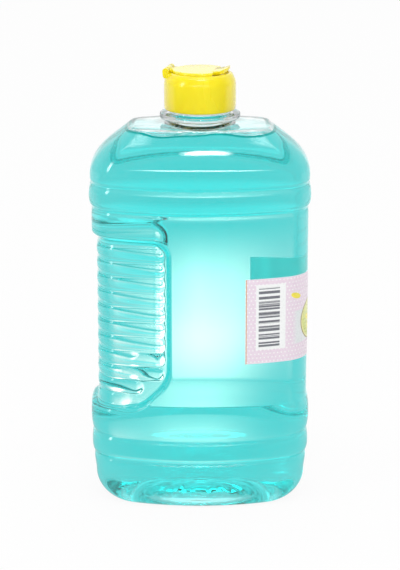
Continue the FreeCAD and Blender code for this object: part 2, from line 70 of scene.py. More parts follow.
RIB_TOP, RIB_PITCH, RIB_COUNT, RIB_RELIEF = 83.3, 4.8, 11, 0.8
RING_BOTTOM, RING_TOP, NECK_TOP = 124.0, 125.5, 134.3
NECK_R, BORE_R, SUPPORT_R = 9.4, 7.7, 12.6
LABEL_BOTTOM, LABEL_TOP, LABEL_EDGE, LABEL_THICK = 48.8, 76.3, 14.1, 0.12
CAP_BOTTOM, CAP_UNDER, SEAT, CAP_RIM = 126.7, 135.1, 137.1, 138.2
CAP_R, CAP_BORE = 11.25, 10.25
SPOUT_TOP, SPOUT_R, ORIFICE_R, POOL_R, SEAT_R = 137.5, 2.9, 1.2, 3.3, 8.9
LID_BOTTOM, LID_TOP, LID_R = 137.3, 139.0, 8.7
LID_UNDER, LID_WALL, PIN_END, PIN_R = 138.1, 1.2, 136.2, 0.85
HINGE_X, HINGE_Z, HINGE_R = -10.0, 138.6, 1.0
HINGE_GAP, BARREL_HALF, EAR_WIDTH = 0.12, 3.1, 1.2
STUB_R, STUB_HOLE_R = 0.5, 0.56
CAP_TURN = math.radians(-12.0)

# ---- form that the looks add -------------------------------------------------------------------
SINK = 0.15                                 # the liquid reaches into the wall, to refract cleanly
PINCHES = ((LOWER_GROOVE, 0.5), (MIDDLE_GROOVE, 0.28), (PANEL_GROOVE, 0.45), (RIM_GROOVE, 0.28))
PINCH_REACH = 0.85
RING_POWER, LOWER_RING_POWER = 2.2, 2.6     # the higher, the flatter a ring is on top
TAPER_END, RIM_RUN = 1.0, 1.4               # foot's taper stops short by this, rim rises over this
GRIP_BLEND = 3                              # reach of the round where two of the grip's edges meet
RIB_END, SLANT_RIB_END, RIB_POWER = 2.5, 7.5, 2.4

# heights where the rows' spacing changes, and the steps between them: fine across each groove
BREAKS = (HEEL, 14.4, 17.1, 21.8, 24.5, 30.0, 90.0, 95.4, 98.1, 103.1, 105.8, RIM)
OUTER_STEPS = (0.85, 0.25, 0.6, 0.25, 0.7, 0.55, 0.9, 0.25, 0.6, 0.25, 0.45)
INNER_STEPS = (1.3, 0.45, 1.0, 0.45, 1.1, 0.8, 1.8, 0.45, 1.0, 0.45, 0.7)
SHOULDER_END = 0.7                          # the shoulder's rows stop this far under the deck
BASE_ROWS, HEEL_ROWS, SHOULDER_ROWS = 12, 16, 30
INNER_BASE_ROWS, INNER_HEEL_ROWS, INNER_SHOULDER_ROWS, LIQUID_SHOULDER_ROWS = 10, 12, 18, 16

# stretches of x on a wide face, with steps: the columns stand closest at the edge of the grip
FACE_STRETCHES = ((27.5, -4.0, -1.3), (-4.0, -21.0, -0.5), (-21.0, -27.5, -0.9))
FACE_SHARES = (0.005, 0.985)                # the columns keep within these shares of the face
ARC_COLUMNS = (10, 12, 0, 14, 12, 14, 0, 12)
BACK_FACE, FRONT_FACE = 2, 6                # the wide faces among the eight arcs
LABEL_ARCS = (6, 7, 0, 1, 2)                # the arcs that the label runs round

# push-up: places from its middle out, its curve, spokes (count, phase, share) and gate mark
GATE_STATIONS, DOME_START = [0.02, 0.05, 0.075, 0.1, 0.13], 0.2
DOME_POWERS = (4, 0.75)
SPOKE_HEIGHT, SPOKE_START, SPOKE_RISE, SPOKE_FALL = 0.16, 0.15, 5, 4
SPOKES = ((12, 0.4, 0.5), (31, 1.0, 0.25))
GATE_DEPTH, GATE_R = 0.45, 0.05

# deck: shares of the way from the shoulder's edge to the neck's foot, and drops under the deck
DECK_STATIONS = ((0.12, 0.18), (0.35, 0.08), (0.65, 0.03), (1.0, -0.12))
DECK_EDGE_DROP, DECK_STRETCH, NECK_FOOT_R = 0.35, 1.15, 11.5

# neck: radii and heights from its foot over the support ring, and from the thread down the bore
NECK_OUTSIDE = ((11.0, 122.6), (10.5, 122.95), (10.15, 123.4), (10.0, 123.85), (10.1, 124.0),
                (12.2, RING_BOTTOM), (12.48, 124.1), (SUPPORT_R, 124.35), (SUPPORT_R, 125.15),
                (12.48, 125.4), (12.2, RING_TOP), (9.7, RING_TOP), (9.47, 125.6), (NECK_R, 125.85))
NECK_INSIDE = ((NECK_R, 133.7), (9.3, 134.1), (9.0, NECK_TOP), (8.1, NECK_TOP), (7.8, 134.15),
               (BORE_R, 133.9), (BORE_R, 128.0), (BORE_R, 123.6), (8.0, 122.7), (9.0, 121.95))
THREAD_ROWS = (126.2, 133.3, 0.3)           # lowest, highest and step
THREAD_PITCH, THREAD_START = 3.18, 127.2
THREAD_LOW, THREAD_HIGH, THREAD_FADE = 126.6, 133.0, 0.8
RIDGE_HEIGHT, RIDGE_HALF, RIDGE_SLOPE = 0.62, 0.95, 0.45

# liquid's level: waves (height, rates along x and y, phase), its edge on the wall and its surface
LEVEL_WAVES = ((0.42, 0.22, 0.0, 0.75), (0.16, 0.47, -0.2, 2.0))
EDGE_LOW, EDGE_HIGH, EDGE_CLIMB = 1.5, 0.5, 0.1
WALL_END, WALL_DROPS = 1.8, (0.95, 0.5, 0.0)
SURFACE_STATIONS = ((0.985, 0.04), (0.96, 0.0), (0.9, 0.0), (0.75, 0.0), (0.6, 0.0), (0.45, 0.0),
                    (0.3, 0.0), (0.15, 0.0), (0.03, 0.0))

CAP_SEGMENTS, LID_SEGMENTS, TRIM_SEGMENTS, ROD_SEGMENTS, STUB_SEGMENTS = 144, 128, 96, 40, 24
CAP_EDGE, LID_EDGE, SHARP_ANGLE = 0.07, 0.09, 40.0
ROUND_MOST, ROUND_POINTS = 0.48, 4          # under half a run, so that its two rounds don't meet
LABEL_LIFT, LABEL_STEP, LABEL_LEAST = 0.005, 0.6, 8


# ---- plan outline ------------------------------------------------------------------------------
def plan_arcs(plan):
    """The outline's eight tangent arcs, anticlockwise from +X: centre, radius, start and sweep."""
    half_length, half_depth, face_r, end_r, corner_r = plan
    face = np.array([0.0, half_depth - face_r])
    end = np.array([half_length - end_r, 0.0])
    to_face, to_end = face_r - corner_r, end_r - corner_r
    apart = np.linalg.norm(end - face)
    along = (to_face ** 2 - to_end ** 2 + apart ** 2) / (2 * apart)
    across = math.sqrt(to_face ** 2 - along ** 2)
    way = (end - face) / apart
    side = np.array([-way[1], way[0]])
    corner = max((face + way * along + side * across * s for s in (1, -1)),
                 key=lambda p: p[0] + p[1])
    end_angle = math.atan2(corner[1] - end[1], corner[0] - end[0])
    face_angle = math.atan2(corner[1] - face[1], corner[0] - face[0])
    bend = face_angle - end_angle
    x, y = corner
    return [((end[0], 0), end_r, -end_angle, 2 * end_angle),
            ((x, y), corner_r, end_angle, bend),
            ((0, face[1]), face_r, face_angle, math.pi - 2 * face_angle),
            ((-x, y), corner_r, math.pi - face_angle, bend),
            ((-end[0], 0), end_r, math.pi - end_angle, 2 * end_angle),
            ((-x, -y), corner_r, math.pi + end_angle, bend),
            ((0, -face[1]), face_r, math.pi + face_angle, math.pi - 2 * face_angle),
            ((x, -y), corner_r, -face_angle, bend)]


def columns():
    """Where the mesh's columns stand on the outline, as (arc, share of it)."""
    xs = [x for stretch in FACE_STRETCHES for x in np.arange(*stretch)]
    _, radius, start, sweep = plan_arcs(PANEL)[BACK_FACE]
    face = [(math.acos(x / radius) - start) / sweep for x in xs]
    face = [f for f in face if FACE_SHARES[0] < f < FACE_SHARES[1]]
    parts = [list(np.arange(n) / n) for n in ARC_COLUMNS]
    parts[BACK_FACE] = [0.0] + face
    parts[FRONT_FACE] = [0.0] + [1 - f for f in reversed(face)]
    return [(arc, share) for arc, shares in enumerate(parts) for share in shares]


COLUMNS = columns()


def outline(plan):
    """Points and outward normals of an outline at the columns."""
    arcs = plan_arcs(plan)
    rows = []
    for arc, share in COLUMNS:
        (cx, cy), radius, start, sweep = arcs[arc]
        angle = start + sweep * share
        c, s = math.cos(angle), math.sin(angle)
        rows.append((cx + radius * c, cy + radius * s, c, s))
    data = np.array(rows)
    return data[:, :2], data[:, 2:]


def grown(plan, offset):
    return tuple(size + offset for size in plan)


def mixed(first, last, share):
    return tuple(a + (b - a) * share for a, b in zip(first, last))


PANEL_XY, PANEL_NORMAL = outline(PANEL)


# ---- form of the blown body --------------------------------------------------------------------
def smooth(value):
    """An even S-shaped rise from 0 to 1."""
    value = np.clip(value, 0.0, 1.0)
    return value * value * (3 - 2 * value)


def dome(z, low, high, relief, power=RING_POWER):
    """A ring that swells between two grooves."""
    share = np.clip((z - low) / (high - low) * 2 - 1, -1, 1)
    return relief * (1 - abs(share) ** power)


def side_offset(z):
    """How far the body stands out of the panel at a height: rings between pinched grooves."""
    if z < LOWER_GROOVE:
        out = -FOOT_TAPER * (1 - smooth((z - HEEL) / (LOWER_GROOVE - HEEL - TAPER_END)))
    elif z < MIDDLE_GROOVE:
        out = dome(z, LOWER_GROOVE, MIDDLE_GROOVE, FOOT_RING)
    elif z < PANEL_FOOT:
        out = dome(z, MIDDLE_GROOVE, PANEL_FOOT, LOWER_RING, LOWER_RING_POWER)
    elif z < PANEL_GROOVE:
        out = 0.0
    elif z < RIM_GROOVE:
        out = dome(z, PANEL_GROOVE, RIM_GROOVE, UPPER_RING)
    else:
        out = RIM_OUT * smooth((z - RIM_GROOVE) / RIM_RUN)
    for height, depth in PINCHES:
        out -= depth * math.exp(-((z - height) / PINCH_REACH) ** 2)
    return out


def soft_least(first, second):
    """The smaller of two distances, rounded off where they meet."""
    least, apart = np.minimum(first, second), abs(first - second)
    return np.where(apart < GRIP_BLEND, least - (GRIP_BLEND - apart) ** 2 / (4 * GRIP_BLEND), least)


def grip_inside(x, z):
    """Distance from the grip's edge into it."""
    right, up, down = GRIP_EDGE - x, GRIP_TOP - z, z - GRIP_BOTTOM
    run, rise = GRIP_EDGE - SLANT_X, SLANT_TOP - GRIP_BOTTOM
    slant = ((z - GRIP_BOTTOM) * run - (x - SLANT_X) * rise) / math.hypot(run, rise)
    far = 6 * GRIP_CORNER
    corner = np.where((right < GRIP_CORNER) & (up < GRIP_CORNER),
                      GRIP_CORNER - np.hypot(GRIP_CORNER - right, GRIP_CORNER - up), far)
    edges = np.minimum(np.minimum(right, up), corner)
    return soft_least(edges, soft_least(down, slant))


def ribs(x, z):
    """Height of the ribs over the grip's floor."""
    height = np.zeros_like(x)
    half = RIB_PITCH / 2
    for index in range(RIB_COUNT):
        middle = RIB_TOP - index * RIB_PITCH
        if abs(z - middle) > half:
            continue
        end = GRIP_EDGE - RIB_END
        if middle < SLANT_TOP:
            share = (GRIP_EDGE - SLANT_X) * (middle - GRIP_BOTTOM) / (SLANT_TOP - GRIP_BOTTOM)
            end = SLANT_X + share - SLANT_RIB_END
        past = np.maximum(x - (end - half), 0)
        reach = np.hypot(past, z - middle) / half
        height = np.maximum(height, RIB_RELIEF * (1 - np.clip(reach, 0, 1) ** RIB_POWER))
    return height


def body_row(z, inset):
    """One level row of the body between heel and rim, an inset inside its outer surface."""
    x = PANEL_XY[:, 0]
    deep = smooth(grip_inside(x, z) / GRIP_SLOPE)
    ring = side_offset(z)
    out = ring * (1 - deep) + (ribs(x, z) - GRIP_DEPTH) * deep - inset
    xy = PANEL_XY + PANEL_NORMAL * out[:, None]
    return np.column_stack([xy, np.full(len(xy), z)])


def level(plan, z):
    xy, _ = outline(plan)
    return np.column_stack([xy, np.full(len(xy), z)])


def heel_rows(inset, count):
    """The rounded foot from the base up."""
    rows = []
    for turn in np.linspace(math.pi / 2, 0, count + 1)[::-1][:-1]:
        share = 1 - math.sin(turn)
        height = inset + (HEEL - inset) * (1 - math.cos(turn))
        plan = grown(PANEL, -FOOT_TAPER - inset - HEEL_DEEP * share)
        half_length = PANEL[0] - FOOT_TAPER - inset - HEEL_LONG * share
        rows.append(level((half_length,) + plan[1:], height))
    return rows


def lean(height):
    """How far the shoulder has leant in at a height over the rim: a bend, then a straight run."""
    if height < SHOULDER_BEND:
        return height ** 2 / (2 * SHOULDER_BEND)
    return height - SHOULDER_BEND / 2


def shoulder_row(z, inset):
    rise = DECK - inset - RIM
    share = lean(z - RIM) / lean(rise)
    return level(mixed(grown(PANEL, RIM_OUT - inset), grown(DECK_PLAN, -inset), share), z)


def shoulder_rows(top, inset, count):
    return [shoulder_row(z, inset) for z in np.linspace(RIM, top, count)]


def base_rows(inset, count):
    """Push-up dome from its middle out, with faint spokes and a gate mark."""
    foot = heel_rows(inset, 2)[0]
    angle = np.arctan2(foot[:, 1] / PUSH_UP[1], foot[:, 0] / PUSH_UP[0])
    long, deep = PUSH_UP[0] + inset, PUSH_UP[1] + inset
    flatness, bulge = DOME_POWERS
    waves = sum(np.cos(angle * number + phase) * share for number, phase, share in SPOKES)
    rows = []
    for t in np.concatenate([GATE_STATIONS, np.linspace(DOME_START, 1, count)]):
        fade = smooth((t - SPOKE_START) * SPOKE_RISE) * smooth((1 - t) * SPOKE_FALL)
        gate = GATE_DEPTH * float(1 - smooth((t - GATE_R) / GATE_R))
        z = PUSH_UP[2] * (1 - t ** flatness) ** bulge + inset + SPOKE_HEIGHT * fade * waves - gate
        rows.append(np.column_stack([long * t * np.cos(angle), deep * t * np.sin(angle), z]))
    return rows


def stations(steps):
    """Heights of the rows from heel to rim."""
    stretches = []
    for low, high, step in zip(BREAKS, BREAKS[1:], steps):
        count = max(1, round((high - low) / step))
        stretches.append(np.linspace(low, high, count, endpoint=False))
    return np.concatenate(stretches)


def lower_rows(inset, base_count, heel_count, steps):
    """Rows from the middle of the base up to the rim."""
    rows = base_rows(inset, base_count) + heel_rows(inset, heel_count)
    return rows + [body_row(z, inset) for z in stations(steps)]


def around(radius, z, angle):
    height = z + np.zeros_like(angle)
    return np.column_stack([radius * np.cos(angle), radius * np.sin(angle), height])


def deck_rows(inset):
    """The flat round the neck, from the shoulder's end in to the neck's foot."""
    edge = shoulder_row(DECK - inset - DECK_EDGE_DROP, inset)
    rows = [edge]
    foot = around(NECK_FOOT_R, 0.0, np.arctan2(edge[:, 1] / DECK_STRETCH, edge[:, 0]))
    for t, drop in DECK_STATIONS:
        row = edge * (1 - t) + foot * t
        row[:, 2] = DECK - inset - drop
        rows.append(row)
    return rows


def thread_rows(angle):
    """The neck's wall with its screw ridge, which rises out of it and sinks back into it."""
    rows = []
    for z in np.arange(*THREAD_ROWS):
        turn = (z - THREAD_START) / THREAD_PITCH - angle / (2 * math.pi)
        near = abs(turn - np.round(turn)) * THREAD_PITCH
        fade = smooth((z - THREAD_LOW) / THREAD_FADE) * smooth((THREAD_HIGH - z) / THREAD_FADE)
        ridge = RIDGE_HEIGHT * np.clip((RIDGE_HALF - near) / RIDGE_SLOPE, 0, 1) * fade
        rows.append(around(NECK_R + ridge, z, angle))
    return rows


def inner_rows(inset):
    """The inner surface from the middle of the base up to the neck's foot."""
    rows = lower_rows(inset, INNER_BASE_ROWS, INNER_HEEL_ROWS, INNER_STEPS)
    rows += shoulder_rows(DECK - inset - SHOULDER_END, inset, INNER_SHOULDER_ROWS)
    return rows + deck_rows(inset)[:-1]


def bottle_rows():
    """Rows of the whole bottle from under its base, up outside, over the land and down inside."""
    rows = lower_rows(0.0, BASE_ROWS, HEEL_ROWS, OUTER_STEPS)
    rows += shoulder_rows(DECK - SHOULDER_END, 0.0, SHOULDER_ROWS)
    rows += deck_rows(0.0)
    angle = np.arctan2(rows[-1][:, 1], rows[-1][:, 0])
    rows += [around(radius, z, angle) for radius, z in NECK_OUTSIDE]
    rows += thread_rows(angle)
    rows += [around(radius, z, angle) for radius, z in NECK_INSIDE]
    return rows + inner_rows(WALL)[::-1]


def liquid_rows():
    """The liquid: the inner surface up to its level, which swings a little and climbs the wall."""
    inset = WALL - SINK
    rows = lower_rows(inset, INNER_BASE_ROWS, INNER_HEEL_ROWS, INNER_STEPS)
    rows += shoulder_rows(FILL - WALL_END, inset, LIQUID_SHOULDER_ROWS)
    low, high = shoulder_row(FILL - EDGE_LOW, inset), shoulder_row(FILL + EDGE_HIGH, inset)

    def swing(x, y):
        return sum(size * np.sin(x * rate_x + y * rate_y + phase)
                   for size, rate_x, rate_y, phase in LEVEL_WAVES)

    middle = (low + high) / 2
    tops = FILL + EDGE_CLIMB + swing(middle[:, 0], middle[:, 1])
    for drop in WALL_DROPS:
        share = ((tops - drop - FILL + EDGE_LOW) / (EDGE_LOW + EDGE_HIGH))[:, None]
        rows.append(low * (1 - share) + high * share)
    edge = rows[-1]
    for t, climb in SURFACE_STATIONS:
        row = edge.copy()
        row[:, :2] *= t
        row[:, 2] = FILL + climb + swing(row[:, 0], row[:, 1])
        rows.append(row)
    return rows


# ---- meshes ------------------------------------------------------------------------------------
def link(name, mesh, materials):
    obj = bpy.data.objects.new(name, mesh)
    bpy.context.scene.collection.objects.link(obj)
    for material in materials:
        mesh.materials.append(material)
    return obj


def skin(name, rows, material, closed=True):
    """Mesh through rows of points, closed at both ends by a fan."""
    count = len(rows[0])
    points = np.concatenate(rows) * MM
    faces = []
    for r in range(len(rows) - 1):
        low, high = r * count, (r + 1) * count
        for c in range(count):
            n = (c + 1) % count
            faces.append((low + c, low + n, high + n, high + c))
    if closed:
        first, last = len(points), len(points) + 1
        points = np.concatenate([points, [rows[0].mean(0) * MM, rows[-1].mean(0) * MM]])
        top = (len(rows) - 1) * count
        for c in range(count):
            n = (c + 1) % count
            faces += [(first, n, c), (last, top + c, top + n)]
    mesh = bpy.data.meshes.new(name)
    mesh.from_pydata(points.tolist(), [], faces)
    mesh.validate()
    mesh.shade_smooth()
    return link(name, mesh, [material])


def volume_of(obj):
    """Volume that a closed mesh holds, below zero where its faces look inwards."""
    mesh = obj.data
    mesh.calc_loop_triangles()
    co = np.array([v.co for v in mesh.vertices])
    tri = np.array([t.vertices for t in mesh.loop_triangles])
    a, b, c = co[tri[:, 0]], co[tri[:, 1]], co[tri[:, 2]]
    return float(np.einsum("ij,ij->i", a, np.cross(b, c)).sum() / 6)


def face_out(obj):
    """Turn a closed mesh's faces outwards."""
    if volume_of(obj) < 0:
        obj.data.flip_normals()
    return obj


def lathe(name, profile, segments, material):
    """Turned form from its (radius, height) profile: a disc, or a ring whose section closes."""
    angle = np.linspace(0, 2 * math.pi, segments, endpoint=False)
    rows = [around(radius, z, angle) for radius, z in profile]
    if profile[0][0] == 0:
        return face_out(skin(name, rows, material))
    obj = skin(name, rows, material, closed=False)
    mesh = obj.data
    top = (len(rows) - 1) * segments
    faces = [tuple(p.vertices) for p in mesh.polygons]
    faces += [(top + c, top + (c + 1) % segments, (c + 1) % segments, c) for c in range(segments)]
    points = [tuple(v.co) for v in mesh.vertices]
    mesh.clear_geometry()
    mesh.from_pydata(points, [], faces)
    mesh.shade_smooth()
    return face_out(obj)


def rounded(points):
    """A profile with each corner given as (radius, height, size) rounded off by that size."""
    result = []
    count = len(points)
    for i, point in enumerate(points):
        here = np.array(point[:2], float)
        if len(point) < 3:
            result.append(tuple(here))
            continue
        before = np.array(points[i - 1][:2], float) - here
        after = np.array(points[(i + 1) % count][:2], float) - here
        run_before, run_after = np.linalg.norm(before), np.linalg.norm(after)
        size = min(point[2], run_before * ROUND_MOST, run_after * ROUND_MOST)
        start = here + before / run_before * size
        end = here + after / run_after * size
        for t in np.linspace(0, 1, ROUND_POINTS):
            result.append(tuple((1 - t) ** 2 * start + 2 * t * (1 - t) * here + t * t * end))
    return result


def block(name, corners, low, high, material):
    """Prism from (x, z) corners between two Y places."""
    points = [(x * MM, y * MM, z * MM) for y in (low, high) for x, z in corners]
    count = len(corners)
    faces = [tuple(range(count)), tuple(range(2 * count - 1, count - 1, -1))]
    faces += [(i, count + i, count + (i + 1) % count, (i + 1) % count) for i in range(count)]
    mesh = bpy.data.meshes.new(name)
    mesh.from_pydata(points, [], faces)
    return face_out(link(name, mesh, [material]))


def rod(name, radius, low, high, material, segments=ROD_SEGMENTS):
    """Round bar along the hinge line."""
    corners = [(HINGE_X + radius * math.cos(a), HINGE_Z + radius * math.sin(a))
               for a in np.linspace(0, 2 * math.pi, segments, endpoint=False)]
    return block(name, corners, low, high, material)


def apply_all(obj):
    """Turn an object's modifiers into its mesh."""
    graph = bpy.context.evaluated_depsgraph_get()
    mesh = bpy.data.meshes.new_from_object(obj.evaluated_get(graph))
    obj.modifiers.clear()
    old = obj.data
    obj.data = mesh
    bpy.data.meshes.remove(old)


def combine(obj, others, operation):
    """Boolean of an object with others, which are used up."""
    for other in others:
        step = obj.modifiers.new("step", "BOOLEAN")
        step.operation = operation
        step.solver = "EXACT"
        step.object = other
        apply_all(obj)
        bpy.data.objects.remove(other)


def soften(obj, width):
    """Small rounds on an object's sharp edges."""
    bevel = obj.modifiers.new("edge", "BEVEL")
    bevel.width = width * MM
    bevel.segments = 2
    bevel.limit_method = "ANGLE"
    bevel.angle_limit = math.radians(SHARP_ANGLE)
    apply_all(obj)
    obj.data.shade_smooth()


def turned(obj):
    """Turn a piece of the cap to where it rests."""
    c, s = math.cos(CAP_TURN), math.sin(CAP_TURN)
    for vertex in obj.data.vertices:
        x, y, z = vertex.co
        vertex.co = (c * x - s * y, s * x + c * y, z)
    return obj


# ---- materials ---------------------------------------------------------------------------------
class Nodes:
    """Short hand for building the shader nodes of a material, a lamp or the world."""

    def __init__(self, owner, output):
        owner.use_nodes = True
        self.owner = owner
        self.tree = owner.node_tree
        self.tree.nodes.clear()
        self.output = self.add(output)

    def add(self, kind, **settings):
        node = self.tree.nodes.new("ShaderNode" + kind)
        for key, value in settings.items():
            setattr(node, key, value)
        return node

    def wire(self, source, target):
        self.tree.links.new(source, target)

    def feed(self, sockets, values):
        """Give sockets plain values or other nodes' outputs."""
        for socket, value in zip(sockets, values):
            if isinstance(value, bpy.types.NodeSocket):
                self.wire(value, socket)
            else:
                socket.default_value = value

    def math(self, operation, *values):
        node = self.add("Math", operation=operation)
        self.feed(node.inputs, values)
        return node.outputs[0]

    def hypotenuse(self, first, second):
        squares = [self.math("MULTIPLY", side, side) for side in (first, second)]
        return self.math("SQRT", self.math("ADD", *squares))

    def vector(self, operation, first, second, result="Vector"):
        node = self.add("VectorMath", operation=operation)
        self.feed(node.inputs, (first, second))
        return node.outputs[result]

    def mix(self, share, first, second):
        """Blend of two colours; the node's other sockets are for other kinds of value."""
        node = self.add("Mix", data_type="RGBA")
        self.feed((node.inputs[0], node.inputs[6], node.inputs[7]), (share, first, second))
        return node.outputs[2]

    def noise(self, scale, detail, stretch=None, source="Object"):
        coordinates = self.add("TexCoord").outputs[source]
        if stretch:
            mapping = self.add("Mapping")
            mapping.inputs["Scale"].default_value = stretch
            self.wire(coordinates, mapping.inputs["Vector"])
            coordinates = mapping.outputs[0]
        node = self.add("TexNoise")
        node.inputs["Scale"].default_value = scale
        node.inputs["Detail"].default_value = detail
        self.wire(coordinates, node.inputs["Vector"])
        return node.outputs["Fac"]

    def ramp(self, value, low, high, out_low, out_high, shape="LINEAR"):
        node = self.add("MapRange", interpolation_type=shape)
        self.feed(node.inputs, (value, low, high, out_low, out_high))
        return node.outputs[0]

    def bump(self, height, strength, distance):
        node = self.add("Bump")
        node.inputs["Strength"].default_value = strength
        node.inputs["Distance"].default_value = distance
        self.wire(height, node.inputs["Height"])
        return node.outputs[0]

    def principled(self, **values):
        node = self.add("BsdfPrincipled")
        self.feed([node.inputs[key.replace("_", " ")] for key in values], values.values())
        self.wire(node.outputs[0], self.output.inputs["Surface"])


def material_nodes(name):
    return Nodes(bpy.data.materials.new(name), "OutputMaterial")


PET_CAST = (0.985, 1.0, 1.0, 1)
PET_IOR, LIQUID_IOR = 1.57, 1.36
LIQUID_COLOUR = (0.0, 0.985, 0.983, 1)      # red fades out with depth, and almost nothing else does
LIQUID_DENSITY = 72.0
# the second tint is a painted shade: darker, for the liquid's strips along the wall
LIQUID_CLEAR, LIQUID_EDGE_SHADE = (1, 1, 1, 1), (0.0, 0.6, 0.57, 1)
YELLOW_LOW, YELLOW_HIGH = (0.86, 0.71, 0.004, 1), (0.93, 0.80, 0.008, 1)
YELLOW_PAINTED_GLOW = (1.0, 0.84, 0.0, 1)
FOAM_LOW, FOAM_HIGH = (0.86, 0.86, 0.82, 1), (0.95, 0.95, 0.92, 1)
PINK_LOW, PINK_HIGH = (0.83, 0.70, 0.80, 1), (0.87, 0.75, 0.84, 1)
DOT_WHITE, SWATH_GREY = (0.98, 0.97, 0.97, 1), (0.80, 0.83, 0.84, 1)
BAR_FIELD, BAR_INK = (0.93, 0.94, 0.94, 1), (0.05, 0.06, 0.09, 1)
DISC_LINE, DISC_PALE = (0.30, 0.24, 0.05, 1), (0.80, 0.78, 0.35, 1)
DISC_RIND = (0.70, 0.76, 0.20, 1)
DISC_LOW, DISC_HIGH = (0.52, 0.62, 0.08, 1), (0.88, 0.90, 0.42, 1)
PETAL, LEAF = (0.98, 0.88, 0.12, 1), (0.93, 0.80, 0.10, 1)
EDGE_LINE = (0.72, 0.36, 0.14, 1)
BACK_LOW, BACK_HIGH = (0.86, 0.88, 0.88, 1), (0.93, 0.94, 0.94, 1)
# painted light: the colours in which the label's underside glows, for daylight through the film
BACK_PAINTED_GLOW_LOW, BACK_PAINTED_GLOW_HIGH = (0.5, 0.78, 0.74, 1), (0.6, 1.0, 0.93, 1)


def clear_pet():
    """Blown clear plastic: very slight waves from blowing and a faint cast."""
    n = material_nodes("clear_pet")
    waves = n.noise(scale=55.0, detail=2.0, stretch=(1.0, 1.0, 0.45))
    fine = n.noise(scale=900.0, detail=2.0)
    height = n.math("ADD", waves, n.math("MULTIPLY", fine, 0.03))
    n.principled(Base_Color=PET_CAST, Roughness=n.ramp(fine, 0.3, 0.7, 0.0, 0.03), IOR=PET_IOR,
                 Transmission_Weight=1.0, Normal=n.bump(height, strength=0.12, distance=0.0006))
    return n.owner


def cologne(name, tint):
    """The clear turquoise liquid, whose colour comes from its depth, and from a painted shade where
    its tint is darker than white.
    """
    n = material_nodes(name)
    n.principled(Base_Color=tint, Roughness=0.0, IOR=LIQUID_IOR, Transmission_Weight=1.0,
                 Normal=n.bump(n.noise(scale=70.0, detail=1.0), strength=0.04, distance=0.0004))
    volume = n.add("VolumeAbsorption")
    volume.inputs["Color"].default_value = LIQUID_COLOUR
    volume.inputs["Density"].default_value = LIQUID_DENSITY
    n.wire(volume.outputs[0], n.output.inputs["Volume"])
    return n.owner


def yellow_plastic():
    """Moulded glossy plastic: flow streaks, a fine skin, light that spreads a little in it, and a
    faint painted glow.
    """
    n = material_nodes("yellow_cap")
    streaks = n.noise(scale=120.0, detail=3.0, stretch=(1.0, 1.0, 0.3))
    grain = n.noise(scale=2600.0, detail=2.0)
    colour = n.mix(n.ramp(streaks, 0.3, 0.7, 0.0, 1.0), YELLOW_LOW, YELLOW_HIGH)
    height = n.math("ADD", n.math("MULTIPLY", streaks, 0.6), n.math("MULTIPLY", grain, 0.25))
    n.principled(Base_Color=colour, Roughness=n.ramp(streaks, 0.25, 0.75, 0.2, 0.32), IOR=1.5,
                 Coat_Weight=0.7, Coat_Roughness=0.12, Subsurface_Weight=0.25,
                 Subsurface_Radius=(0.9, 0.6, 0.08), Subsurface_Scale=0.0012,
                 # painted light: the emission makes the cap glow faintly yellow, though it is no
                 # lamp
                 Emission_Color=YELLOW_PAINTED_GLOW, Emission_Strength=0.06,
                 Normal=n.bump(height, strength=0.12, distance=0.0002))
    return n.owner


def foam():
    """Closed-cell foam of the sealing liner."""
    n = material_nodes("liner_foam")
    cells = n.add("TexVoronoi")
    cells.inputs["Scale"].default_value = 1800.0
    n.wire(n.add("TexCoord").outputs["Object"], cells.inputs["Vector"])
    tint = n.mix(cells.outputs["Distance"], FOAM_LOW, FOAM_HIGH)
    n.principled(Base_Color=tint, Roughness=0.75,
                 Normal=n.bump(cells.outputs["Distance"], strength=0.5, distance=0.0002))
    return n.owner


# print on the label, in millimetres along it from its near edge and up it from its lower edge;
# only the rates of the swath's sway and of the bars are per metre
DOT_PITCH, DOT_INNER, DOT_OUTER, DOT_STRENGTH = 1.25, 0.15, 0.2, 0.9
SWATH_MIDDLE, SWATH_LOW, SWATH_HIGH = 13.0, -5.2, 5.6
SWATH_START, SWATH_END, SWATH_SWAY, SWATH_RATE = 16.5, 52.0, 2.6, 95.0
DISC_S, DISC_Z, DISC_R = 26.0, 12.0, 6.8
DISC_SHADE = (4.0, 19.0)
PETALS, PETAL_OUT, PETAL_LONG, PETAL_WIDE = 5, 2.2, 1.9, 0.95
LEAVES = ((39.0, 19.0, 0.6), (43.0, 8.0, -0.5), (17.0, 21.0, -0.3))     # place and tilt
LEAF_LONG, LEAF_WIDE = 2.0, 0.9
BAR_PANEL, BAR_AREA = (3.4, 13.2, 4.4, 25.6), (4.3, 11.2, 5.4, 24.6)
EDGE_AREA = (0.2, 0.45, 0.0, 27.6)
BAR_RATE, BAR_CUT, BAR_STRENGTH = 1150.0, (0.485, 0.505), 0.85


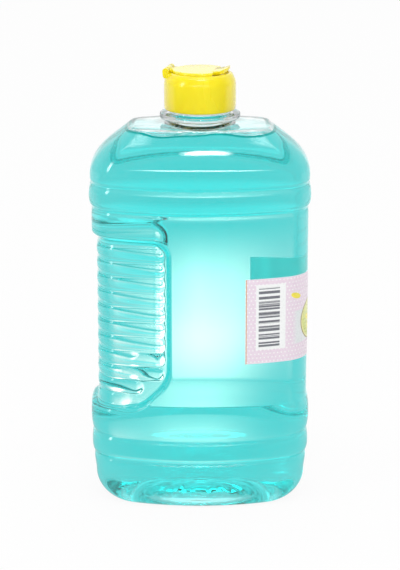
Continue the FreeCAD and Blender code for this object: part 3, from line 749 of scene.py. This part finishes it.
def label_print():
    """Print on the film: a pink field of dots, a plain panel of bars, a ringed disc and petals."""
    n = material_nodes("label_film")
    uv = n.add("UVMap", uv_map="film").outputs[0]
    split = n.add("SeparateXYZ")
    n.wire(uv, split.inputs[0])
    s, z = split.outputs[0], split.outputs[1]

    def inside(value, low, high, edge=0.00008):
        """1 between two places, with a crisp but not jagged edge."""
        up = n.ramp(value, low - edge, low + edge, 0.0, 1.0)
        down = n.ramp(value, high - edge, high + edge, 1.0, 0.0)
        return n.math("MULTIPLY", up, down)

    def box(s0, s1, z0, z1):
        return n.math("MULTIPLY", inside(s, s0 * MM, s1 * MM), inside(z, z0 * MM, z1 * MM))

    def oval(s0, z0, long, wide, tilt=0.0):
        """Distance from an oval's middle: 1 on its edge."""
        c, t = math.cos(tilt), math.sin(tilt)
        ds, dz = n.math("SUBTRACT", s, s0 * MM), n.math("SUBTRACT", z, z0 * MM)
        along = n.math("ADD", n.math("MULTIPLY", ds, c), n.math("MULTIPLY", dz, t))
        across = n.math("SUBTRACT", n.math("MULTIPLY", dz, c), n.math("MULTIPLY", ds, t))
        return n.hypotenuse(n.math("DIVIDE", along, long * MM), n.math("DIVIDE", across, wide * MM))

    def fill(colour, distance, low, high, paint):
        """Lay a paint over a colour up to a distance, where it fades out from low to high."""
        return n.mix(n.ramp(distance, low, high, 1.0, 0.0), colour, paint)

    colour = n.mix(n.noise(scale=260.0, detail=2.0, source="UV"), PINK_LOW, PINK_HIGH)

    # small white dots, every second row moved by half a pitch
    pitch = DOT_PITCH * MM
    row = n.math("FLOOR", n.math("DIVIDE", z, pitch))
    shift = n.math("MULTIPLY", n.math("MODULO", row, 2.0), 0.5)
    u = n.math("SUBTRACT", n.math("FRACT", n.math("ADD", n.math("DIVIDE", s, pitch), shift)), 0.5)
    v = n.math("SUBTRACT", n.math("FRACT", n.math("DIVIDE", z, pitch)), 0.5)
    dots = n.ramp(n.hypotenuse(u, v), DOT_INNER, DOT_OUTER, DOT_STRENGTH, 0.0)
    colour = n.mix(dots, colour, DOT_WHITE)

    # pale swath across the front
    sway = n.math("MULTIPLY", n.math("SINE", n.math("MULTIPLY", s, SWATH_RATE)), SWATH_SWAY * MM)
    band = n.math("ADD", n.math("SUBTRACT", z, SWATH_MIDDLE * MM), sway)
    swath = n.math("MULTIPLY", inside(band, SWATH_LOW * MM, SWATH_HIGH * MM, 0.0003),
                   inside(s, SWATH_START * MM, SWATH_END * MM, 0.001))
    colour = n.mix(swath, colour, SWATH_GREY)

    # ringed disc, with petals round its middle
    disc = oval(DISC_S, DISC_Z, DISC_R, DISC_R)
    inner = n.mix(n.ramp(z, DISC_SHADE[0] * MM, DISC_SHADE[1] * MM, 0.0, 1.0), DISC_LOW, DISC_HIGH)
    for low, high, paint in ((1.0, 1.02, DISC_LINE), (0.95, 0.97, DISC_PALE),
                             (0.86, 0.88, DISC_RIND), (0.84, 0.86, inner)):
        colour = fill(colour, disc, low, high, paint)
    for turn in range(PETALS):
        angle = math.pi / 2 + turn * 2 * math.pi / PETALS
        petal = oval(DISC_S + PETAL_OUT * math.cos(angle), DISC_Z + PETAL_OUT * math.sin(angle),
                     PETAL_LONG, PETAL_WIDE, angle)
        colour = fill(colour, petal, 0.97, 1.03, PETAL)

    # small leaves round it
    for s0, z0, tilt in LEAVES:
        colour = fill(colour, oval(s0, z0, LEAF_LONG, LEAF_WIDE, tilt), 0.97, 1.03, LEAF)

    # plain panel with bars, which are noise and encode nothing
    colour = n.mix(box(*BAR_PANEL), colour, BAR_FIELD)
    stripes = n.noise(scale=1.0, detail=2.0, stretch=(0.0, BAR_RATE, 0.0), source="UV")
    bars = n.math("MULTIPLY", n.ramp(stripes, *BAR_CUT, 0.0, 1.0), box(*BAR_AREA))
    bars = n.math("MULTIPLY", bars, BAR_STRENGTH)
    colour = n.mix(bars, colour, BAR_INK)

    # thin line down the near edge
    colour = n.mix(box(*EDGE_AREA), colour, EDGE_LINE)

    fine = n.noise(scale=1500.0, detail=2.0, source="UV")
    n.principled(Base_Color=colour, Roughness=n.ramp(fine, 0.3, 0.7, 0.24, 0.34), IOR=1.5,
                 Coat_Weight=0.25, Coat_Roughness=0.08,
                 Normal=n.bump(fine, strength=0.1, distance=0.0001))
    return n.owner


def label_back_painted_glow():
    """Bare underside of the film, seen through the bottle, with a painted glow in streaks standing
    in for the light that comes through it.
    """
    n = material_nodes("label_back_painted_glow")
    fine = n.noise(scale=700.0, detail=2.0)
    painted_glow_streaks = n.ramp(n.noise(scale=190.0, detail=1.0, stretch=(1.0, 1.0, 0.02)), 0.4, 0.62, 0.0, 1.0)
    n.principled(Base_Color=n.mix(fine, BACK_LOW, BACK_HIGH),
                 Roughness=n.ramp(fine, 0.3, 0.7, 0.45, 0.6),
                 Normal=n.bump(fine, strength=0.15, distance=0.0001),
                 # painted light: the emission stands in for light through the film, brighter in
                 # streaks
                 Emission_Color=n.mix(painted_glow_streaks, BACK_PAINTED_GLOW_LOW, BACK_PAINTED_GLOW_HIGH),
                 Emission_Strength=0.55)
    return n.owner


# ---- pieces ------------------------------------------------------------------------------------
def label_path():
    """Stations round the label, from its front edge to its back edge: centre, radius and normal."""
    arcs = plan_arcs(PANEL)
    places = []
    for arc in LABEL_ARCS:
        (cx, cy), radius, start, sweep = arcs[arc]
        low, high = 0.0, 1.0
        if arc == FRONT_FACE:
            low = (2 * math.pi - math.acos(LABEL_EDGE / radius) - start) / sweep
        if arc == BACK_FACE:
            high = (math.acos(LABEL_EDGE / radius) - start) / sweep
        count = max(LABEL_LEAST, int(radius * sweep * (high - low) / LABEL_STEP))
        for share in np.linspace(low, high, count, endpoint=(arc == BACK_FACE)):
            angle = start + sweep * share
            places.append((cx, cy, radius, math.cos(angle), math.sin(angle)))
    data = np.array(places)
    return data[:, :2], data[:, 2:3], data[:, 3:]


def label_piece():
    """The wrap label: a thin film on the panel, with its print on the outside."""
    centre, radius, normal = label_path()
    inner = centre + normal * (radius + LABEL_LIFT)
    outer = centre + normal * (radius + LABEL_THICK)
    run = np.concatenate([[0], np.cumsum(np.linalg.norm(np.diff(outer, axis=0), axis=1))])
    count = len(centre)
    levels = [(outer, LABEL_BOTTOM), (outer, LABEL_TOP), (inner, LABEL_TOP), (inner, LABEL_BOTTOM)]
    points = np.concatenate([np.column_stack([xy, np.full(count, z)]) for xy, z in levels]) * MM
    print_side, back_side = 0, 1
    faces, kinds = [], []
    for side in range(4):
        low, high = side * count, ((side + 1) % 4) * count
        for i in range(count - 1):
            faces.append((low + i, low + i + 1, high + i + 1, high + i))
            kinds.append(print_side if side == 0 else back_side)
    for i in (0, count - 1):
        corners = [i, count + i, 2 * count + i, 3 * count + i]
        faces.append(tuple(corners if i == 0 else corners[::-1]))
        kinds.append(back_side)
    mesh = bpy.data.meshes.new("wrap_label")
    mesh.from_pydata(points.tolist(), [], faces)
    obj = link("wrap_label", mesh, [label_print(), label_back_painted_glow()])
    face_out(obj)
    uv = mesh.uv_layers.new(name="film")
    for polygon in mesh.polygons:
        polygon.material_index = kinds[polygon.index]
        for loop in polygon.loop_indices:
            side, place = divmod(mesh.loops[loop].vertex_index, count)
            uv.data[loop].uv = (run[place] * MM, (levels[side][1] - LABEL_BOTTOM) * MM)
    mesh.shade_smooth()
    mesh.set_sharp_from_angle(angle=math.radians(SHARP_ANGLE))
    return obj


# profiles are (radius, height) points, with the size of the round at a corner that has one
CAP_PROFILE = (
    (CAP_BORE, CAP_BOTTOM, 0.2), (CAP_R - 0.1, CAP_BOTTOM, 0.35), (CAP_R, 129.0), (CAP_R, 132.5),
    (CAP_R - 0.03, 134.6), (CAP_R - 0.22, 135.9), (CAP_R - 0.75, 137.0), (10.1, 137.75),
    (9.35, CAP_RIM, 0.25), (SEAT_R, CAP_RIM, 0.15), (SEAT_R, SEAT, 0.25), (POOL_R, SEAT, 0.3),
    (SPOUT_R, SPOUT_TOP, 0.2), (ORIFICE_R, SPOUT_TOP, 0.15), (ORIFICE_R, CAP_UNDER, 0.1),
    (CAP_BORE, CAP_UNDER, 0.4))
# (x, z) corners of the foot under each hinge ear
EAR_FOOT = (
    (HINGE_X - 0.6, 136.5), (HINGE_X + 0.9, 136.5), (HINGE_X + HINGE_R, HINGE_Z),
    (HINGE_X - HINGE_R, HINGE_Z), (HINGE_X - 0.9, 137.4))
STUB_IN, STUB_OUT = 1.2, 0.3                # the stubs' ends, in and out from the ears' inner faces
LID_PROFILE = (
    (0.0, PIN_END), (PIN_R, PIN_END, 0.3), (PIN_R, LID_UNDER, 0.2),
    (LID_R - LID_WALL, LID_UNDER, 0.3), (LID_R - LID_WALL, LID_BOTTOM, 0.1),
    (LID_R, LID_BOTTOM, 0.15), (LID_R, 138.45, 0.1), (LID_R - 0.12, 138.8, 0.1),
    (LID_R - 0.5, LID_TOP, 0.3), (0.0, LID_TOP))
# the tab starts where the disc is cut off and sweeps up to its tip: x, and height over the lid
TAB_START, TAB_HALF, TAB_R = 5.2, 4.3, 9.38
TAB_SWEEP = (
    (3.2, -0.02), (5.4, 0.02), (7.2, 0.3), (8.4, 0.75), (9.35, 1.2),
    (9.35, 0.35), (8.6, -0.15), (7.2, -0.6), (5.3, -0.9), (3.2, -0.9))
WEB_END, WEB_BOTTOM, WEB_DROP = -7.4, 138.4, 0.01
CUT_LOW, CUT_HIGH, CUT_FAR, CUT_HALF = 130, 145, 20, 12     # a cutting block, well past the lid
TRIM_HIGH, HOLE_PAST = 142, 0.1


def cap_piece(material):
    """Screw skirt with its deck, lid seat, spout and hinge ears."""
    shell = lathe("cap_shell", rounded(CAP_PROFILE), CAP_SEGMENTS, material)
    half = BARREL_HALF + HINGE_GAP
    combine(shell, [rod("notch", HINGE_R + HINGE_GAP, -half, half, material)], "DIFFERENCE")
    for sign in (1, -1):
        low, high = sorted((sign * half, sign * (half + EAR_WIDTH)))
        foot = block("foot", EAR_FOOT, low, high, material)
        ear = rod("ear", HINGE_R, low, high, material)
        low, high = sorted((sign * (half - STUB_IN), sign * (half + STUB_OUT)))
        stub = rod("stub", STUB_R, low, high, material, STUB_SEGMENTS)
        combine(shell, [foot, ear, stub], "UNION")
    soften(shell, CAP_EDGE)
    return turned(shell)


def lid_piece(material):
    """Flip lid: crowned disc with its pin, thumb tab, hinge barrel and web."""
    disc = lathe("flip_top", rounded(LID_PROFILE), LID_SEGMENTS, material)
    cut = [(TAB_START, CUT_LOW), (CUT_FAR, CUT_LOW), (CUT_FAR, CUT_HIGH), (TAB_START, CUT_HIGH)]
    combine(disc, [block("front", cut, -CUT_HALF, CUT_HALF, material)], "DIFFERENCE")
    sweep = [(x, LID_TOP + rise) for x, rise in TAB_SWEEP]
    tab = block("tab", sweep, -TAB_HALF, TAB_HALF, material)
    trim = [(0.0, CUT_LOW), (TAB_R, CUT_LOW), (TAB_R, TRIM_HIGH), (0.0, TRIM_HIGH)]
    combine(tab, [lathe("trim", trim, TRIM_SEGMENTS, material)], "INTERSECT")
    barrel = rod("barrel", HINGE_R, -BARREL_HALF, BARREL_HALF, material)
    web_form = [(HINGE_X, WEB_BOTTOM), (WEB_END, WEB_BOTTOM),
                (WEB_END, LID_TOP - WEB_DROP), (HINGE_X, LID_TOP - WEB_DROP)]
    web = block("web", web_form, -BARREL_HALF, BARREL_HALF, material)
    combine(disc, [tab, barrel, web], "UNION")
    reach = BARREL_HALF + HOLE_PAST
    hole = rod("hole", STUB_HOLE_R, -reach, reach, material, STUB_SEGMENTS)
    combine(disc, [hole], "DIFFERENCE")
    soften(disc, LID_EDGE)
    return turned(disc)


PET, YELLOW = clear_pet(), yellow_plastic()

bottle = face_out(skin("blown_bottle", bottle_rows(), PET))
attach(bottle, "bottle_body")
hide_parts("bottle")

# the liquid's edge against the wall reads darker, so the last strip up the wall and the first one
# in from it have a darker tint: a painted shade
liquid_form = liquid_rows()
liquid = face_out(skin("turquoise_cologne", liquid_form, cologne("cologne", LIQUID_CLEAR)))
liquid.data.materials.append(cologne("cologne_edge_painted_shade", LIQUID_EDGE_SHADE))
painted_shade_start = (len(liquid_form) - len(SURFACE_STATIONS) - 2) * len(COLUMNS)
for polygon in liquid.data.polygons[painted_shade_start:painted_shade_start + 2 * len(COLUMNS)]:
    polygon.material_index = 1
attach(liquid, "bottle_body")
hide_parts("cologne")

label = label_piece()
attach(label, "bottle_body")
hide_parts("label")

cap = cap_piece(YELLOW)
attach(cap, "cap")
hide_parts("cap_body")

lid = lid_piece(YELLOW)
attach(lid, "lid")
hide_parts("flip_lid")

liner = frame["nodes"]["cap_liner"]
liner.data.materials.clear()
liner.data.materials.append(foam())


# ---- floor, light and camera, in metres --------------------------------------------------------
WHITE = (1, 1, 1, 1)
FLOOR_HALF = 3.0
FLOOR_COLOUR = (0.9, 0.9, 0.9, 1)
FLOOR_TO_CAMERA = 0.93                      # the rest shows the shadow
FLOOR_MIRRORED = (-0.05, 0.1, 0.2, 1.0)     # depths, and brightness in reflections there
FLOOR_REFRACTED = (0.36, 0.46, 0.72, 0.88)  # depths, and brightness through plastic there

SKY_TURN = (-0.15, 0.45)                    # how far back the world's front gives way to its back
SKY_MIRRORED, SKY_REFRACTED = (0.22, 1.0), (1.0, 0.88)                  # front and back
SKY_PLAIN = 0.88

AIM = (0.0, 0.0, 0.07)
LAMP_CORE = 0.15                            # share of a lamp's half size that is fully bright
# name, place, width, height and watts
SOFTBOXES = (("front_box", (0.05, -0.62, 1.08), 0.5, 0.16, 7.0),
             ("front_strip", (0.0, -1.0, 0.5), 1.7, 0.06, 3.4),
             ("top_box", (0.0, -0.25, 1.1), 1.6, 0.16, 6.0),
             ("left_box", (-0.9, -0.5, 0.5), 0.3, 0.6, 3.0),
             ("back_box", (0.0, 1.1, 0.45), 1.2, 0.5, 1.2))
# name, x, z, width, height and watts
GLOW_LAMPS = (("middle_glow", 0.002, 0.043, 0.029, 0.066, 0.0031),
              ("low_glow", -0.001, 0.019, 0.028, 0.066, 0.0021),
              ("grip_glow", -0.018, 0.036, 0.02, 0.08, 0.0075))
GLOW_Y, GLOW_SLOPE, GLOW_SPREAD = 0.07, 16, 40
GLOW_COLOUR = (1.0, 0.07, 0.06)             # the liquid takes most of the red and leaves it white

BOUNCES, GLOSSY_BOUNCES, CLEAR_BOUNCES = 32, 24, 32
CAMERA_LENS, CAMERA_NEAR, CAMERA_AWAY, CAMERA_PITCH = 132.6, 0.01, 0.6705, 16.0
LOOK_AT = Vector((0.0, 0.0, 0.0693))


def floor():
    """Pale floor that keeps the shadow, but is nearly white to the camera and through plastic."""
    n = Nodes(bpy.data.materials.new("floor"), "OutputMaterial")
    path = n.add("LightPath").outputs
    split = n.add("SeparateXYZ")
    n.wire(n.add("TexCoord").outputs["Object"], split.inputs[0])
    depth = split.outputs[1]
    refracts = path["Is Transmission Ray"]
    # a refracted ray counts as glossy too, so it is taken out of the reflections
    mirrored = n.math("MULTIPLY", path["Is Glossy Ray"], n.ramp(depth, *FLOOR_MIRRORED))
    mirrored = n.math("MULTIPLY", mirrored, n.math("SUBTRACT", 1.0, refracts))
    refracted = n.math("MULTIPLY", refracts, n.ramp(depth, *FLOOR_REFRACTED))
    strength = n.math("ADD", path["Is Camera Ray"], n.math("ADD", mirrored, refracted))
    share = n.math("MAXIMUM", n.math("MULTIPLY", path["Is Camera Ray"], FLOOR_TO_CAMERA),
                   n.math("MAXIMUM", path["Is Glossy Ray"], refracts))
    diffuse = n.add("BsdfDiffuse")
    diffuse.inputs["Color"].default_value = FLOOR_COLOUR
    glow = n.add("Emission")
    glow.inputs["Color"].default_value = WHITE
    n.wire(strength, glow.inputs["Strength"])
    mix = n.add("MixShader")
    n.feed(mix.inputs, (share, diffuse.outputs[0], glow.outputs[0]))
    n.wire(mix.outputs[0], n.output.inputs["Surface"])
    mesh = bpy.data.meshes.new("floor")
    corners = [(x * FLOOR_HALF, y * FLOOR_HALF, 0) for x, y in ((-1, -1), (1, -1), (1, 1), (-1, 1))]
    mesh.from_pydata(corners, [], [(0, 1, 2, 3)])
    link("floor", mesh, [n.owner])


def world():
    """White behind the bottle, greyer studio in front, and plain light for everything else."""
    scene_world = bpy.data.worlds.new("studio")
    bpy.context.scene.world = scene_world
    n = Nodes(scene_world, "OutputWorld")
    way = n.add("SeparateXYZ")
    n.wire(n.add("TexCoord").outputs["Generated"], way.inputs[0])
    path = n.add("LightPath").outputs
    mirrors, refracts = path["Is Glossy Ray"], path["Is Transmission Ray"]

    def front_to_back(levels, kind):
        """Brightness for one kind of ray: a level in front that changes to another behind."""
        return n.math("MULTIPLY", n.ramp(way.outputs[1], *SKY_TURN, *levels), kind)

    mirrored = n.math("MULTIPLY", front_to_back(SKY_MIRRORED, mirrors),
                      n.math("SUBTRACT", 1.0, refracts))
    strength = n.math("ADD", mirrored, front_to_back(SKY_REFRACTED, refracts))
    others = n.math("SUBTRACT", 1.0, n.math("MAXIMUM", mirrors, refracts))
    strength = n.math("ADD", strength, n.math("MULTIPLY", others, SKY_PLAIN))
    shade = n.add("Background")
    n.wire(n.math("MAXIMUM", strength, path["Is Camera Ray"]), shade.inputs["Strength"])
    n.wire(shade.outputs[0], n.output.inputs["Surface"])


def softbox(name, place, target, width, height, watts):
    """Area lamp that fades out towards its edges."""
    place, target = Vector(place), Vector(target)
    lamp = bpy.data.lights.new(name, "AREA")
    lamp.shape = "RECTANGLE"
    lamp.size, lamp.size_y, lamp.energy = width, height, watts
    obj = bpy.data.objects.new(name, lamp)
    bpy.context.scene.collection.objects.link(obj)
    obj.location = place
    turn = (target - place).to_track_quat("-Z", "Y")
    obj.rotation_euler = turn.to_euler()
    n = Nodes(lamp, "OutputLight")
    away = n.vector("SUBTRACT", n.add("NewGeometry").outputs["Position"], place)
    shares = []
    for axis, half in ((Vector((1, 0, 0)), width / 2), (Vector((0, 1, 0)), height / 2)):
        across = n.math("ABSOLUTE", n.vector("DOT_PRODUCT", away, turn @ axis, "Value"))
        shares.append(n.ramp(across, LAMP_CORE * half, half, 1.0, 0.0, "SMOOTHSTEP"))
    glow = n.add("Emission")
    n.wire(n.math("MULTIPLY", *shares), glow.inputs["Strength"])
    n.wire(glow.outputs[0], n.output.inputs["Surface"])
    return obj


def glow_lamp(name, x, z, width, height, watts):
    """Small lamp behind the bottle, which shines through the liquid towards the front."""
    place = Vector((x, GLOW_Y, z))
    slope = math.radians(GLOW_SLOPE)
    way = Vector((0.0, -math.cos(slope), math.sin(slope)))
    lamp = softbox(name, place, place + way, width, height, watts)
    lamp.data.spread = math.radians(GLOW_SPREAD)
    lamp.data.color = GLOW_COLOUR
    lamp.visible_diffuse = lamp.visible_glossy = False


floor()
world()
for name, place, width, height, watts in SOFTBOXES:
    softbox(name, place, AIM, width, height, watts)
for glow_settings in GLOW_LAMPS:
    glow_lamp(*glow_settings)

cycles = bpy.context.scene.cycles
cycles.max_bounces, cycles.glossy_bounces = BOUNCES, GLOSSY_BOUNCES
cycles.transmission_bounces = CLEAR_BOUNCES

camera_data = bpy.data.cameras.new("camera")
camera_data.lens = CAMERA_LENS
camera_data.clip_start = CAMERA_NEAR
camera = bpy.data.objects.new("camera", camera_data)
bpy.context.scene.collection.objects.link(camera)
pitch = math.radians(CAMERA_PITCH)
camera.location = LOOK_AT + Vector((0.0, -math.cos(pitch), math.sin(pitch))) * CAMERA_AWAY
camera.rotation_euler = (LOOK_AT - camera.location).to_track_quat("-Z", "Y").to_euler()
bpy.context.scene.camera = camera
bpy.context.scene.view_settings.view_transform = "Standard"
